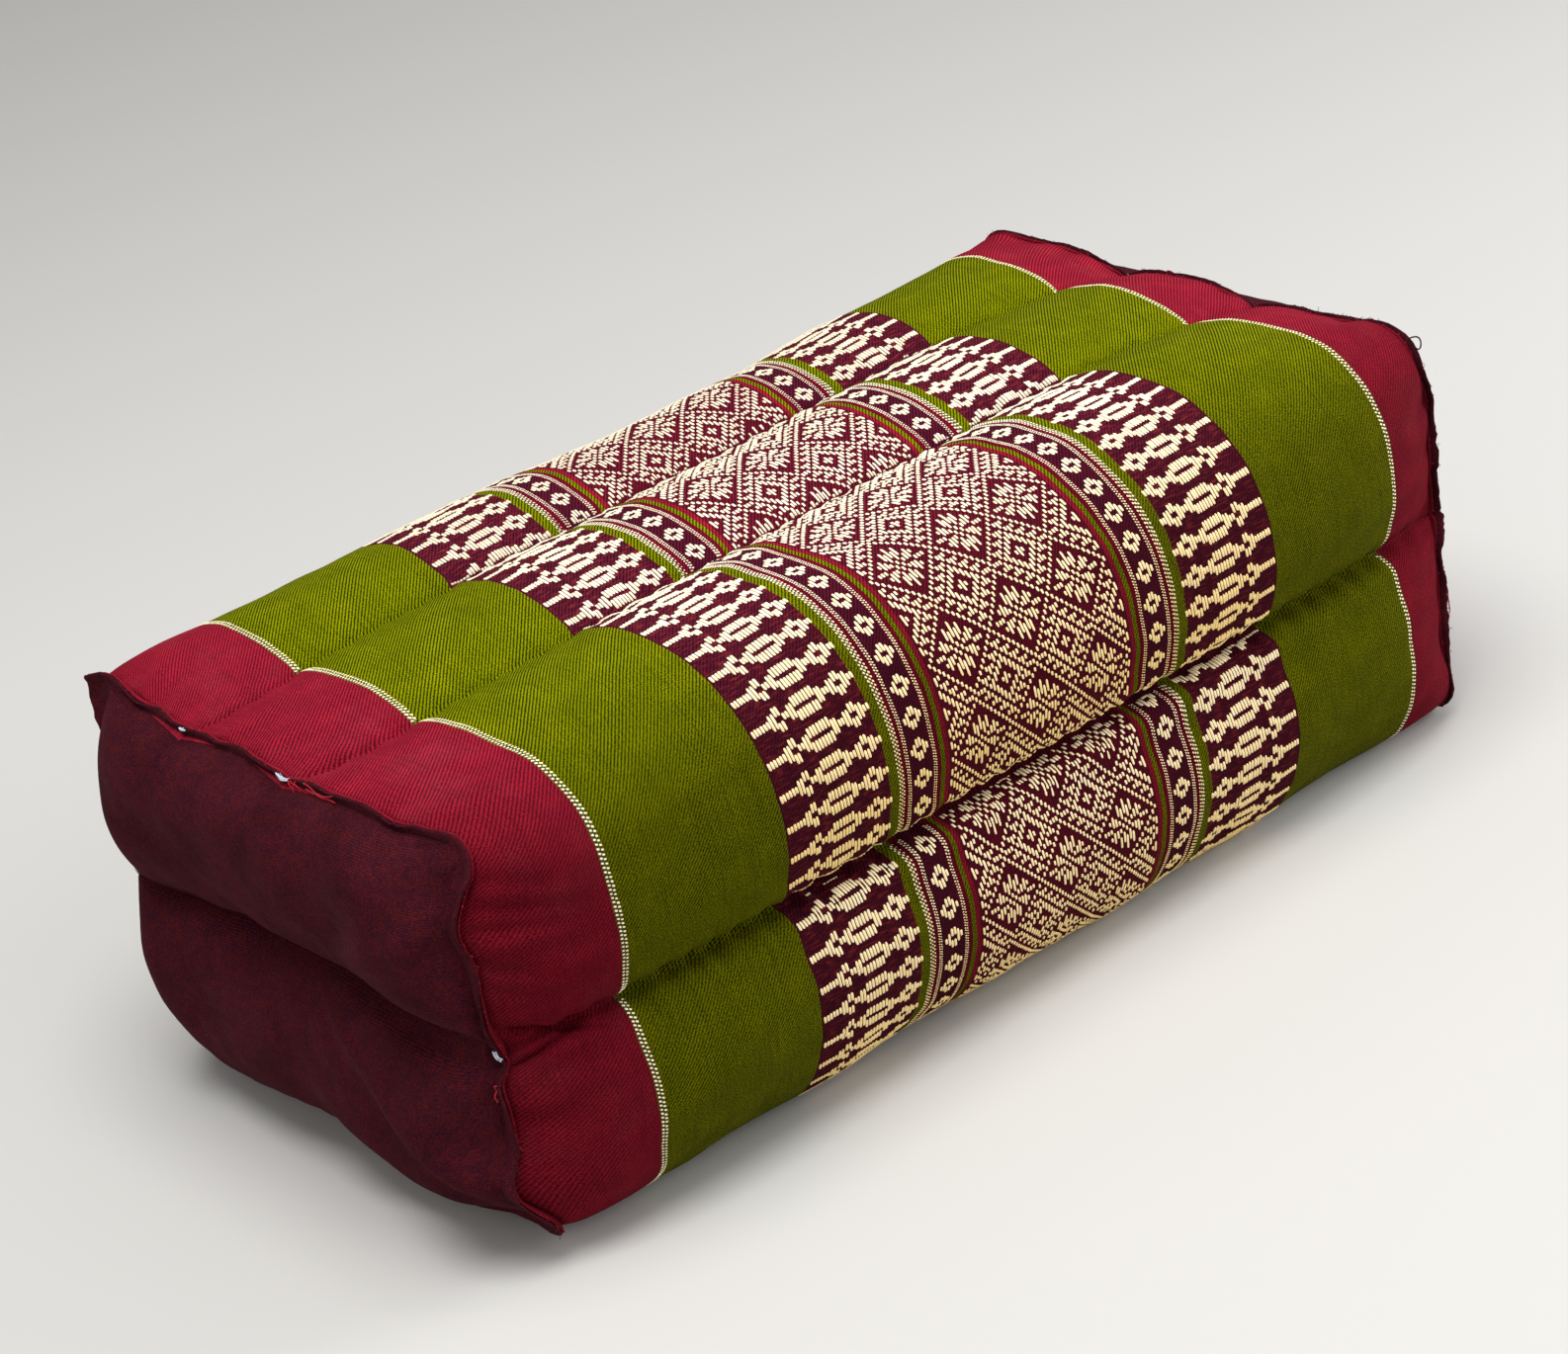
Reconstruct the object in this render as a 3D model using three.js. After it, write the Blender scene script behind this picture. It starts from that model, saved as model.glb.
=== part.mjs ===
// A Thai block cushion: a patterned wrap filled with kapok in two layers of three channels,
// closed at each end by a plain panel. X runs along the cushion, Y across it (-Y is the front),
// and Z up from the surface that it lies on, with the origin under its middle. Millimetres.
import * as THREE from 'three';

// Driving dimensions
const SEAM_LENGTH = 344;         // between the corner tips of the two end seams
const SIDE_CHANNEL_HEIGHT = 67.5; // of the sewn channel along each long side
const SETTLE = 1.5;              // how softly the base meets the surface
const END_BOW_SIDE = 6.5;        // how far the end seam bows out past the tips, along its sides
const END_BOW_TOP = 2.5;         // and along its top and bottom
const END_BOW_REACH = 18;        // length of seam over which that bow grows from a tip
const END_BOW_POWER = 12;        // how close to the end the bow stays
const TIP_REACH = 6;             // how far a corner tip stands out of the rounded corner
const TIP_SPREAD = 13;           // length of seam on each side of a tip that stands out with it
const TIP_POWER = 14;            // how close to the end the tips stay
const TOP_GROOVE = 28;           // width of the soft groove on one side of a top channel
const SIDE_GROOVE = 24;          // and of a side channel
const PANEL_BULGE = 14;          // crown of each lobe of an end panel past the tips
const PANEL_ROUND = 32;          // width along its seam over which a panel rounds up to that crown
const PANEL_GROOVE = 24;         // half width of the groove across an end panel
const PANEL_GROOVE_SHARE = 0.7;  // share of the bulge that the groove takes away
const CLOTH = 1.4;               // thickness of the panel and of each cloth in the sewn lip
const CLEARANCE = 0.3;           // between the panel and the filled wrap
const LIP = 4;                   // how far the sewn lip stands out
const LIP_LEAN = Math.PI / 4;    // of the lip, from square to the cushion's length towards it

// The section, from the cushion's middle to its end seams. Each size fades from its value in the
// middle to its value at the end, later along the cushion as the power is higher.
const SECTION = {
  halfWidth: { middle: 107, end: 84.6, power: 10 },
  halfHeight: { middle: 71.5, end: 54.4, power: 6 },
  topDepth: { middle: 8, end: 1.8, power: 4 },
  sideDepth: { middle: 11.5, end: 2, power: 10 },
  backChannel: { middle: 28.5, end: 39, power: 12 },
  frontChannel: { middle: 28.5, end: 12, power: 12 },
};
const CORNER_END = 6;            // radius of every corner at the end seam
const CORNER_POWER = 7;          // how late it fades to that

// The lobes round a section, from the back top channel over the top and down the front. A lobe is
// drawn for the back (+Y) and the top (+Z), and turned over by flipAcross and flipUp. Radius is
// that of its corner in the middle of the cushion: the fuller a lobe is, the less round.
const LOBES = [
  { middle: true, flipAcross: 1, flipUp: 1 },
  { radius: 42, flipAcross: -1, flipUp: 1 },
  { radius: 47, flipAcross: -1, flipUp: -1, reversed: true },
  { middle: true, flipAcross: 1, flipUp: -1, reversed: true },
  { radius: 57, flipAcross: 1, flipUp: -1 },
  { radius: 57, flipAcross: 1, flipUp: 1, reversed: true },
];

// Mesh steps
const CORNER_STEPS = 14;         // round one corner lobe
const MIDDLE_STEPS = 8;          // across the middle lobe of the top or the bottom
const HALF_RINGS = 11;           // sections from the middle to one end
const RING_CROWDING = 1.7;       // above 1, sections crowd towards the ends
const PANEL_RINGS = 6;           // from the middle of an end panel to just inside its seam
const LAST_STEP = 0.5;           // the step from the last of those to the seam, as a share of one

const WRAP_CLOTH = { color: 0x7c1c30, roughness: 0.8, metalness: 0 };
const PANEL_CLOTH = { color: 0x2c1419, roughness: 0.9, metalness: 0 };

const HALF_LENGTH = SEAM_LENGTH / 2;

// A size at a share of the way from the cushion's middle (0) to its end seam (1).
function fade(middle, end, power, along) {
  return THREE.MathUtils.lerp(middle, end, along ** power);
}

// All sizes of the section there.
function sectionAt(along) {
  const sizes = {};
  for (const [name, { middle, end, power }] of Object.entries(SECTION)) {
    sizes[name] = fade(middle, end, power, along);
  }
  return sizes;
}

// Depth of a groove at a distance from its channel.
function groove(distance, width, depth) {
  return depth * Math.max(0, 1 - distance / width) ** 2;
}

// The height above the surface of a point that the base presses flat below it.
function settle(height) {
  if (height >= SETTLE) return height;
  return Math.max(0, height + SETTLE) ** 2 / (4 * SETTLE);
}

// A point of one corner lobe: share 0 is the top channel, 0.5 the corner, 1 the side channel.
// Gives its place across and above the section's centre, the outward direction of the corner's
// plain outline there, and how far the end seam bows out at it.
function cornerPoint(sizes, { radius: middleRadius, flipAcross, share }, along) {
  const channel = flipAcross < 0 ? sizes.frontChannel : sizes.backChannel;
  const radius = fade(middleRadius, CORNER_END, CORNER_POWER, along);
  const topRun = sizes.halfWidth - radius - channel;
  const halfArc = (radius * Math.PI) / 4;
  const sideRun = sizes.halfHeight - radius;
  const onTop = share <= 0.5;
  const toCorner = (onTop ? topRun + halfArc : sideRun + halfArc) * Math.abs(1 - 2 * share);
  const turn = Math.min(toCorner / radius, Math.PI / 4);
  const angle = Math.PI / 4 + (onTop ? -turn : turn);
  const straight = Math.max(0, toCorner - halfArc);
  const normal = new THREE.Vector2(Math.sin(angle), Math.cos(angle));
  const point = normal.clone().multiplyScalar(radius);
  point.x += sizes.halfWidth - radius - (onTop ? straight : 0);
  point.y += sizes.halfHeight - radius - (onTop ? 0 : straight);

  const channelSide = onTop ? topRun + halfArc : sideRun + halfArc;
  const depth = onTop
    ? groove(channelSide - toCorner, TOP_GROOVE, sizes.topDepth)
    : groove(channelSide - toCorner, SIDE_GROOVE, sizes.sideDepth);
  point.addScaledVector(normal, -depth);

  const standOut = TIP_REACH * along ** TIP_POWER * Math.exp(-((toCorner / TIP_SPREAD) ** 2));
  point.x += standOut * Math.SQRT1_2;
  point.y += standOut * Math.SQRT1_2;

  const awayFromTip = 1 - Math.exp(-((toCorner / END_BOW_REACH) ** 2));
  const bow = (onTop ? END_BOW_TOP : END_BOW_SIDE) * awayFromTip;
  return { point, normal, bow };
}

// A point of the middle lobe between two top channels: share 0 is the back one, 1 the front one.
function middlePoint(sizes, { share }) {
  const across = THREE.MathUtils.lerp(sizes.backChannel, -sizes.frontChannel, share);
  const rise = sizes.halfHeight - sizes.topDepth * (1 - 2 * share) ** 2;
  return {
    point: new THREE.Vector2(across, rise),
    normal: new THREE.Vector2(0, 1),
    bow: END_BOW_TOP,
  };
}

// The places round a section: a lobe of the table, and a share of the way across it.
function lobePlaces() {
  return LOBES.flatMap((lobe) => {
    const steps = lobe.middle ? MIDDLE_STEPS : CORNER_STEPS;
    return Array.from({ length: steps }, (_, step) => {
      const share = lobe.reversed ? 1 - step / steps : step / steps;
      return { ...lobe, share };
    });
  });
}

const PLACES = lobePlaces();

// One point of the wrap, at a share of the way to the end on that side (-1 left, 1 right), with
// the outward direction in the section.
function wrapPoint(place, along, side) {
  const sizes = sectionAt(along);
  const lobe = place.middle ? middlePoint(sizes, place) : cornerPoint(sizes, place, along);
  const length = HALF_LENGTH * along + lobe.bow * along ** END_BOW_POWER;
  const height = SIDE_CHANNEL_HEIGHT + lobe.point.y * place.flipUp;
  return {
    point: new THREE.Vector3(side * length, lobe.point.x * place.flipAcross, settle(height)),
    normal: new THREE.Vector3(0, lobe.normal.x * place.flipAcross, lobe.normal.y * place.flipUp),
  };
}

// A ring of the sewn lip at one end: out along the lip, and across it from the seam line, with
// positive across towards the end panel.
function lipRing(side, out, across) {
  return PLACES.map((place) => {
    const { point, normal } = wrapPoint(place, 1, side);
    const outward = normal.clone().multiplyScalar(Math.cos(LIP_LEAN));
    outward.x += side * Math.sin(LIP_LEAN);
    const acrossLip = normal.clone().multiplyScalar(-Math.sin(LIP_LEAN));
    acrossLip.x += side * Math.cos(LIP_LEAN);
    return point.clone().addScaledVector(outward, out).addScaledVector(acrossLip, across);
  });
}

// The share of its crown that a panel reaches at a distance inside its seam.
function rounding(distance) {
  const flat = THREE.MathUtils.clamp(distance / PANEL_ROUND, 0, 1);
  return 1 - (1 - flat) ** 2;
}

// How far a panel's lobes stand out past the tips at a place across it and above its groove.
function panelBulge(across, rise) {
  const acrossCrown = rounding(SECTION.halfWidth.end - Math.abs(across));
  const riseCrown = rounding(SECTION.halfHeight.end - Math.abs(rise));
  const grooved = groove(Math.abs(rise), PANEL_GROOVE, PANEL_GROOVE_SHARE);
  return PANEL_BULGE * acrossCrown * riseCrown * (1 - grooved);
}

// A ring of an end panel's surface, offset along the cushion from the line that parts the panel
// from the filling.
function panelRing(side, share, offset) {
  return PLACES.map((place) => {
    const { point } = wrapPoint(place, 1, side);
    const bow = Math.abs(point.x) - HALF_LENGTH;
    const across = point.y * share;
    const rise = (point.z - SIDE_CHANNEL_HEIGHT) * share;
    const length = HALF_LENGTH + bow * share ** 2 + panelBulge(across, rise) + offset;
    return new THREE.Vector3(side * length, across, SIDE_CHANNEL_HEIGHT + rise);
  });
}

// The surface of an end panel from its middle to just inside its seam: a first point and rings.
function panelSurface(side, offset) {
  const middle = new THREE.Vector3(
    side * (HALF_LENGTH + panelBulge(0, 0) + offset), 0, SIDE_CHANNEL_HEIGHT);
  const rings = [];
  for (let ring = 1; ring <= PANEL_RINGS; ring += 1) {
    rings.push(panelRing(side, ring / (PANEL_RINGS + LAST_STEP), offset));
  }
  return { middle, rings };
}

// The two triangles of a four-cornered patch, split along its shorter diagonal, so that two cloths
// that lie on each other are split alike.
function splitQuad(points, [a, b, c, d]) {
  const alongFirst = points[a].distanceTo(points[c]) <= points[b].distanceTo(points[d]);
  return alongFirst ? [a, b, c, a, c, d] : [a, b, d, b, c, d];
}

// A closed body from a first point, rings of as many points each, and a last point.
function ringBody(firstPoint, rings, lastPoint) {
  const points = [firstPoint, ...rings.flat(), lastPoint];
  const count = PLACES.length;
  const at = (ring, step) => 1 + ring * count + (step % count);
  const faces = [];
  for (let step = 0; step < count; step += 1) {
    faces.push(0, at(0, step + 1), at(0, step));
    for (let ring = 0; ring + 1 < rings.length; ring += 1) {
      const corners = [at(ring, step), at(ring, step + 1), at(ring + 1, step + 1), at(ring + 1, step)];
      faces.push(...splitQuad(points, corners));
    }
    faces.push(at(rings.length - 1, step), at(rings.length - 1, step + 1), points.length - 1);
  }
  const geometry = new THREE.BufferGeometry().setFromPoints(points);
  geometry.setIndex(faces);
  geometry.computeVertexNormals();
  return geometry;
}

// The filled wrap: one end under its panel, its lip, the lobed body, and the other end the same.
function cushionBody() {
  const parting = CLEARANCE / 2;
  const endRings = (side) => {
    const { middle, rings } = panelSurface(side, -parting);
    const lip = [
      lipRing(side, 0, -parting),
      lipRing(side, LIP, -parting),
      lipRing(side, LIP, -parting - CLOTH),
      lipRing(side, 0, -parting - CLOTH),
    ];
    return { middle, rings: [...rings, ...lip] };
  };
  const body = [];
  for (let ring = 1 - HALF_RINGS; ring < HALF_RINGS; ring += 1) {
    const along = 1 - (1 - Math.abs(ring) / HALF_RINGS) ** RING_CROWDING;
    body.push(PLACES.map((place) => wrapPoint(place, along, Math.sign(ring) || 1).point));
  }
  const left = endRings(-1);
  const right = endRings(1);
  return ringBody(left.middle, [...left.rings, ...body, ...right.rings.reverse()], right.middle);
}

// An end panel: one cloth over the end, turned out at its seam into the lip.
function endPanel(side) {
  const parting = CLEARANCE / 2;
  const inner = panelSurface(side, parting);
  const outer = panelSurface(side, parting + CLOTH);
  const fromOutside = [
    ...outer.rings,
    lipRing(side, 0, parting + CLOTH),
    lipRing(side, LIP, parting + CLOTH),
    lipRing(side, LIP, parting),
    lipRing(side, 0, parting),
    ...inner.rings.reverse(),
  ];
  if (side < 0) return ringBody(outer.middle, fromOutside, inner.middle);
  return ringBody(inner.middle, fromOutside.reverse(), outer.middle);
}

// One named sub-part in its own cloth.
function clothMesh(name, geometry, cloth) {
  const mesh = new THREE.Mesh(geometry, new THREE.MeshStandardMaterial(cloth));
  mesh.name = name;
  return mesh;
}

const cushion = new THREE.Group();
cushion.name = 'thai_block_cushion';
cushion.add(clothMesh('cushion_body', cushionBody(), WRAP_CLOTH));
cushion.add(clothMesh('end_panel_left', endPanel(-1), PANEL_CLOTH));
cushion.add(clothMesh('end_panel_right', endPanel(1), PANEL_CLOTH));

export default cushion;
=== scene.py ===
import math

import bpy
import numpy as np
from mathutils import Matrix, Vector


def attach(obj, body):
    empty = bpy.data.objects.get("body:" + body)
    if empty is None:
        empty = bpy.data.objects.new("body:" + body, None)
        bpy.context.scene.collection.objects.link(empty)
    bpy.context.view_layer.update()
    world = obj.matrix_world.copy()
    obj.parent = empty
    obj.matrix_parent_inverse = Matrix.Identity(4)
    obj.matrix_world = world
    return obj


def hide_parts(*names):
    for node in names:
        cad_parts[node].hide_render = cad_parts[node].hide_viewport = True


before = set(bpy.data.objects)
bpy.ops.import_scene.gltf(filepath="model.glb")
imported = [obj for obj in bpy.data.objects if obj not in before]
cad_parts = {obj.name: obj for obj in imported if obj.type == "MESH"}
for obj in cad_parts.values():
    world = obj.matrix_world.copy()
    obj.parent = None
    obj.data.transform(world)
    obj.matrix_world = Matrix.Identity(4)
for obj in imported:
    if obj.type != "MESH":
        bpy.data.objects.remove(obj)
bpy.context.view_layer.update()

# The cushion's own sizes, in millimetres, as the CAD has them
HALF_LENGTH = 172.0
SIDE_CHANNEL_HEIGHT = 67.5
SETTLE = 1.5
END_BOW_SIDE = 6.5
END_BOW_TOP = 2.5
END_BOW_REACH = 18.0
END_BOW_POWER = 12
TIP_SPREAD = 13.0
TIP_POWER = 14
TOP_GROOVE = 28.0
SIDE_GROOVE = 24.0
CORNER_END = 6.0
CORNER_POWER = 7

# Sizes of the section: in the middle, at the ends, and the power of the way between them
SECTION = {
    "half_width": (107.0, 84.6, 10),
    "half_height": (71.5, 54.4, 6),
    "top_depth": (8.0, 1.8, 4),
    "side_depth": (11.5, 2.0, 10),
}

# How far the two top channels run from the middle line: halfway along the cushion, and at its left
# and its right end. The CAD has both ends alike, and here each follows the photo.
CHANNEL_MIDDLE = 28.5
CHANNEL_ENDS = {"back_channel": {-1: 42.5, 1: 28.5}, "front_channel": {-1: 8.5, 1: 26.0}}
CHANNEL_POWER = 12

# The six lobes round a section, from the front top channel down the front, under the cushion, up
# the back and over the top. Each is drawn for the back and the top, and turned over from there to the
# side that "across" and "up" name. "radius" is that of its rounded corner, and a middle lobe has none.
# A reversed one runs from its side channel on. "tip" is how far its corner stands out at the ends,
# which is less on the top than in the CAD.
LOBES = [
    {"radius": 42.0, "across": -1, "up": 1, "reversed": False, "tip": 2.0},
    {"radius": 47.0, "across": -1, "up": -1, "reversed": True, "tip": 6.0},
    {"radius": None, "across": 1, "up": -1, "reversed": True, "tip": 0.0},
    {"radius": 57.0, "across": 1, "up": -1, "reversed": False, "tip": 6.0},
    {"radius": 57.0, "across": 1, "up": 1, "reversed": True, "tip": 3.5},
    {"radius": None, "across": 1, "up": 1, "reversed": False, "tip": 0.0},
]
JOIN_LOBE = 3  # the wrap's two edges meet in the channel before this lobe, under the cushion

# End panels: their bulge, the widths over which it rounds up, and the groove across it
PANEL_BULGE = 16.5
PANEL_ROUND = 27.0
PANEL_ROUND_TOP = 21.0
PANEL_GROOVE = 24.0
PANEL_GROOVE_SHARE = 0.62
PANEL_TOP_FULL = (0.86, 0.4)      # share of the bulge just over the groove, and its rise from there
PANEL_LUMPS = (0.8, 0.2)          # of the filling behind the panel, wide and fine
PANEL_GATHER = 0.35
PANEL_CREASE = 2.6
PANEL_CREASE_WIDTH = 2.4
PANEL_RINGS = 46
PANEL_SHARES = (0.001, 0.992)     # of the first and the last ring on the way out to the seam
PANEL_CLOSER = 1.15               # power by which the rings lie closer at the seam
PANEL_INSIDE = (0.96, 0.9, 0.6, 0.3, 0.001)   # rings of its hidden face

# Sewn lips round both ends
PANEL_LIP = {-1: 4.4, 1: 3.3}     # of the panels at the left and the right end
WRAP_LIP = {-1: 3.7, 1: 1.3}      # of the wrap there
LIP_CUT = {-1: 0.42, 1: 0.62}     # how much shorter the lips are on the top and the underside
LIP_CLOTH = 0.8
LIP_PARTING = 0.1
RIM_CROWN = {-1: 0.3, 1: 3.4}     # how far the seam bows out between the channels
RIM_LIFT = {-1: 0.0, 1: 0.9}      # and how far it stands out at them
EAR = (-2.6, 3.6, -1.4)           # how far the lip stands away at one corner of the left end
EAR_WIDTH = 4.5
EAR_LOBE = 4

# Mesh steps of the wrap
GIRTH_STEPS = 420
LENGTH_STEPS = 203
GIRTH_TABLE = 801       # steps across a lobe by which its girth is measured
CLOSER_BESIDE = 0.3     # how much closer the steps lie beside the channels
CLOSER_AT_ENDS = 1.12   # power by which the rings lie closer at the ends

# The woven pattern
PATTERN_SHIFT = 1.5    # of the pattern's middle along the cushion
PATTERN_SKEW = -0.04   # how far the motifs drift round the cushion for each millimetre along it
STAR_AT = 57.2         # girth of one row of stars
STAR_REPEAT = 28.0
PICK = 1.11            # between the cream yarns of the middle field
FIELD_PICKS = 30       # on each side of the middle
HALF_REPEAT_PICKS = 10
CELL_COUNT = 22        # steps of the field's chart in one repeat round the cushion
CELL = STAR_REPEAT / CELL_COUNT
MOTIF_REPEAT = STAR_REPEAT / 3
FLOAT_SPREAD = 0.15    # how far a float of the field reaches past its cells
FIELD_YARN = 0.72      # width of the field's yarn, as a share of its pick
MOTIF_YARN = 0.82      # and of the charted motifs' yarn

# Colours, as red, green and blue from 0 to 255. A woven ground has a light and a dark thread.
CRIMSON = ((155, 31, 51), (92, 11, 28))
DARK_RED = ((116, 14, 36), (76, 8, 24))
OLIVE = ((125, 134, 0), (40, 42, 0))
MAROON = ((88, 20, 38), (42, 10, 26))
CLARET = ((108, 22, 40), (54, 10, 25))
RUST = (138, 48, 48)
MOSS = ((112, 112, 44), (58, 56, 22))
FLAX = ((116, 112, 52), (60, 58, 22))
CREAM_LIGHT = (253, 248, 233)
CREAM_DARK = (248, 237, 209)
AUBERGINE_LIGHT = (84, 26, 35)
AUBERGINE_DARK = (39, 10, 18)
LINT = (112, 84, 88)
SCUFF = (206, 130, 132)
WHITE_THREAD = (205, 214, 226)
RED_THREAD = (176, 24, 44)
DARK_THREAD = (46, 20, 26)
FLOOR_COLOUR = (198, 197, 195)

# The camera, as the photo's perspective gives it
CAMERA_TARGET = (9.664, 22.008, 57.527)
CAMERA_AZIMUTH = -35.165
CAMERA_ELEVATION = 26.128
CAMERA_ROLL = -11.462
CAMERA_DISTANCE = 1196.17
CAMERA_LENS = 91.685
SENSOR = 36.0

MM = 0.001


# Shape of the wrap


def fade(sizes, along):
    middle, end, power = sizes
    return middle + (end - middle) * along**power


def groove(distance, width, depth):
    return depth * np.maximum(0, 1 - distance / width) ** 2


def bell(value, middle, spread):
    """1 at the middle, falling off smoothly on both sides."""
    return np.exp(-(((value - middle) / spread) ** 2))


def by_end(x, values):
    """The value for the left or the right end, whichever is nearer."""
    return np.where(x < 0, values[-1], values[1])


def settle(height):
    """The height over the floor, flattened where the cushion rests."""
    flattened = np.maximum(0, height + SETTLE) ** 2 / (4 * SETTLE)
    return np.where(height >= SETTLE, height, flattened)


def middle_lobe(sizes, share):
    """A middle lobe's place across and up, its outward direction and its bow at the end."""
    across = sizes["back_channel"] * (1 - share) - sizes["front_channel"] * share
    rise = sizes["half_height"] - sizes["top_depth"] * (1 - 2 * share) ** 2
    zero = np.zeros_like(across)
    return across, rise, zero, zero + 1, zero + END_BOW_TOP


def corner_lobe(sizes, lobe, share, along):
    """The same of a corner lobe, from its top channel at share 0 to its side channel at 1."""
    channel = sizes["front_channel"] if lobe["across"] < 0 else sizes["back_channel"]
    radius = fade((lobe["radius"], CORNER_END, CORNER_POWER), along)
    half_arc = radius * math.pi / 4
    top_run = sizes["half_width"] - radius - channel
    side_run = sizes["half_height"] - radius
    on_top = share <= 0.5
    run = np.where(on_top, top_run, side_run) + half_arc
    to_corner = run * np.abs(1 - 2 * share)
    turn = np.minimum(to_corner / radius, math.pi / 4)
    angle = math.pi / 4 + np.where(on_top, -turn, turn)
    straight = np.maximum(0, to_corner - half_arc)
    out_across = np.sin(angle)
    out_up = np.cos(angle)
    across = out_across * radius + sizes["half_width"] - radius - np.where(on_top, straight, 0)
    rise = out_up * radius + sizes["half_height"] - radius - np.where(on_top, 0, straight)
    from_groove = run - to_corner
    top_groove = groove(from_groove, TOP_GROOVE, sizes["top_depth"])
    side_groove = groove(from_groove, SIDE_GROOVE, sizes["side_depth"])
    depth = np.where(on_top, top_groove, side_groove)
    tip = lobe["tip"] * along**TIP_POWER * bell(to_corner, 0, TIP_SPREAD) * math.sqrt(0.5)
    away_from_tip = 1 - bell(to_corner, 0, END_BOW_REACH)
    bow = np.where(on_top, END_BOW_TOP, END_BOW_SIDE) * away_from_tip
    return across - out_across * depth + tip, rise - out_up * depth + tip, out_across, out_up, bow


def lobe_points(lobe, progress, x):
    """Points of one lobe and their outward directions in the section."""
    along = np.abs(x) / HALF_LENGTH
    share = 1 - progress if lobe["reversed"] else progress
    sizes = {name: fade(values, along) for name, values in SECTION.items()}
    for name, ends in CHANNEL_ENDS.items():
        sizes[name] = fade((CHANNEL_MIDDLE, by_end(x, ends), CHANNEL_POWER), along)
    if lobe["radius"] is None:
        across, rise, out_across, out_up, bow = middle_lobe(sizes, share)
    else:
        across, rise, out_across, out_up, bow = corner_lobe(sizes, lobe, share, along)
        across = across * lobe["across"]
        out_across = out_across * lobe["across"]
    length = x + np.sign(x) * bow * along**END_BOW_POWER
    height = settle(SIDE_CHANNEL_HEIGHT + rise * lobe["up"])
    points = np.stack([length, across, height], axis=-1)
    outward = np.stack([np.zeros_like(length), out_across, out_up * lobe["up"]], axis=-1)
    return points, outward


def lobe_girths():
    """For each lobe, its girth in the middle of the cushion against progress across it."""
    tables = []
    start = 0.0
    for lobe in LOBES:
        progress = np.linspace(0, 1, GIRTH_TABLE)
        points, _ = lobe_points(lobe, progress, np.zeros_like(progress))
        steps = np.linalg.norm(np.diff(points, axis=0), axis=1)
        girth = start + np.concatenate([[0], np.cumsum(steps)])
        tables.append((girth, progress))
        start = girth[-1]
    return tables


GIRTHS = lobe_girths()
TOTAL_GIRTH = GIRTHS[-1][0][-1]
CHANNELS = [girth[0] for girth, _ in GIRTHS]
JOIN_GIRTH = CHANNELS[JOIN_LOBE]

# Where the end seams are drawn in or stand out: end, girth and spread round the cushion, and how
# far the seam moves outward along the cushion, to the back and up
RIM_PULLS = [
    (-1, 91.0, 10.0, 5.0, 0.0, 0.0),
    (-1, 137.0, 10.0, -4.8, 0.0, -4.4),
    (-1, 185.0, 10.5, 9.5, 0.0, 0.0),
    (-1, 482.0, 14.0, 0.0, -1.5, 0.0),
    (-1, 522.0, 20.0, 0.0, 5.0, 0.0),
    (1, 38.0, 26.0, 0.0, 0.0, -1.6),
    (1, 550.0, 20.0, 0.0, -1.0, 1.4),
    (1, 88.0, 14.0, 3.0, 0.0, 0.0),
    (1, 137.0, 12.0, 2.0, 0.0, -4.6),
    (1, 176.0, 26.0, -3.4, 0.0, 0.0),
]


def plain_surface(x, girth):
    """Points of the smooth wrap, and their outward directions in the section."""
    girth = np.mod(girth, TOTAL_GIRTH)
    points = np.zeros(girth.shape + (3,))
    outward = np.zeros(girth.shape + (3,))
    for lobe, (table, progress) in zip(LOBES, GIRTHS):
        inside = (girth >= table[0]) & (girth <= table[-1])
        at = np.interp(girth[inside], table, progress)
        points[inside], outward[inside] = lobe_points(lobe, at, x[inside])
    for side, middle, spread, out, back, up in RIM_PULLS:
        late = np.clip(side * x / HALF_LENGTH, 0, 1) ** END_BOW_POWER
        share = late * bell(girth, middle, spread)
        points += share[..., None] * np.array([side * out, back, up])
    return points, outward


def waves(x, y, wavelength, seed, count=14):
    """A smooth unevenness of about 1 up and down, with its own seed."""
    random = np.random.default_rng(seed)
    total = np.zeros(np.broadcast(x, y).shape)
    for _ in range(count):
        turn = random.uniform(0, 2 * math.pi)
        pace = 2 * math.pi / (wavelength * random.uniform(0.7, 1.5))
        total += np.sin(pace * (x * math.cos(turn) + y * math.sin(turn)) + random.uniform(0, 6.28))
    return total / math.sqrt(count)


def cloth_girth(girth):
    """Girth as the cloth counts it, from one edge at the join round to the other."""
    girth = np.mod(girth, TOTAL_GIRTH)
    return np.where(girth > JOIN_GIRTH, girth - TOTAL_GIRTH, girth)


def from_channel(girth):
    """Distance to the nearest sewn channel."""
    nearest = np.full(girth.shape, 1e9)
    for channel in CHANNELS:
        apart = np.abs(np.mod(girth - channel + TOTAL_GIRTH / 2, TOTAL_GIRTH) - TOTAL_GIRTH / 2)
        nearest = np.minimum(nearest, apart)
    return nearest


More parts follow.
